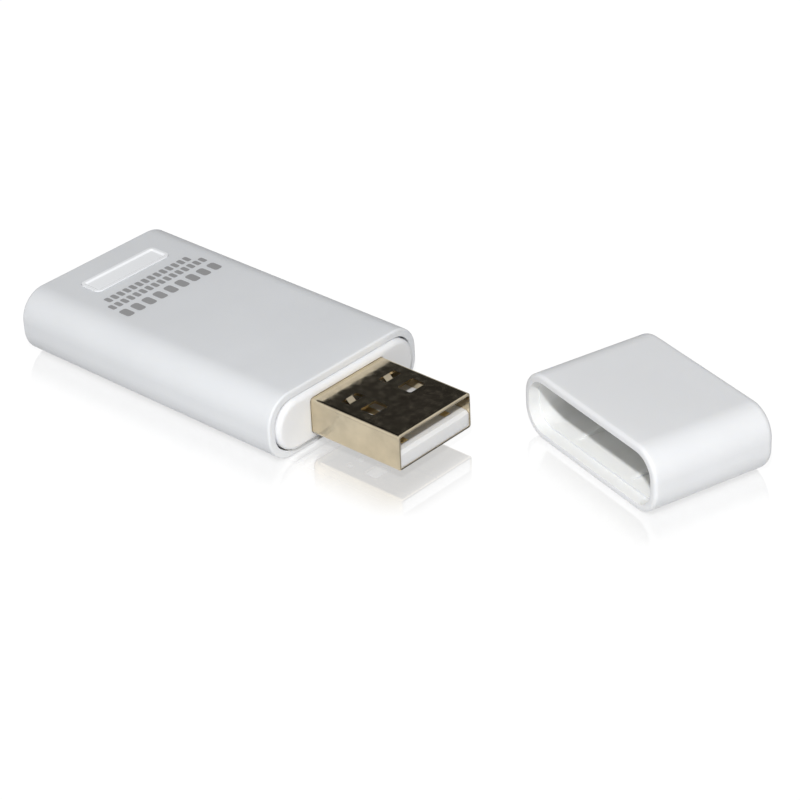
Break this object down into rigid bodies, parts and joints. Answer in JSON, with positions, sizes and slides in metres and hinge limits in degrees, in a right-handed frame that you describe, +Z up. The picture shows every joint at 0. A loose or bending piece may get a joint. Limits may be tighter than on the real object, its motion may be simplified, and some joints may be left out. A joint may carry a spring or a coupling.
{
  "type": "air conditioner wifi module",
  "caption": "Slim white plug-in wireless module with rounded sides, a gold-toned plug in a pillowed collar, and its matching cap pulled off and laid beside it.",
  "frame": {"origin": "middle of the sleeve's flat underside", "axes": "+X along the sleeve towards the plug's tip, +Y across the sleeve to the side where the cap lies, +Z up from the surface it rests on"},
  "size_m": [0.0843, 0.0392, 0.0083],
  "materials": {
    "case_plastic": "satin moulded plastic",
    "badge_plastic": "polished moulded plastic",
    "collar_plastic": "polished moulded plastic",
    "cap_plastic": "satin moulded plastic",
    "plug_metal": "bright champagne plating",
    "insulator_plastic": "smooth moulded plastic",
    "contact_metal": "gold plated",
    "board_laminate": "solder-masked laminate",
    "antenna_copper": "bare copper track",
    "can_metal": "tinned sheet",
    "package_plastic": "moulded epoxy",
    "crystal_metal": "seam-sealed lid",
    "capacitor_body": "fired ceramic",
    "resistor_body": "glazed film on ceramic"
  },
  "bodies": {
    "root": {"outer_case": "case_plastic", "badge_plate": "badge_plastic", "end_collar": "collar_plastic", "protective_cap": "cap_plastic", "plug_shell": "plug_metal", "plug_tongue": "insulator_plastic", "contact_supply": "contact_metal", "contact_data_minus": "contact_metal", "contact_data_plus": "contact_metal", "contact_ground": "contact_metal", "main_board": "board_laminate", "radio_board": "board_laminate", "printed_antenna": "antenna_copper", "shield_can": "can_metal", "radio_chip": "package_plastic", "memory_chip": "package_plastic", "radio_crystal": "crystal_metal", "voltage_regulator": "package_plastic", "surge_protector": "package_plastic", "capacitor_1": "capacitor_body", "resistor_1": "resistor_body", "capacitor_2": "capacitor_body", "resistor_2": "resistor_body", "capacitor_3": "capacitor_body", "resistor_3": "resistor_body", "capacitor_4": "capacitor_body", "resistor_4": "resistor_body", "level_transistor_1": "package_plastic", "level_transistor_2": "package_plastic"}
  },
  "joints": []
}
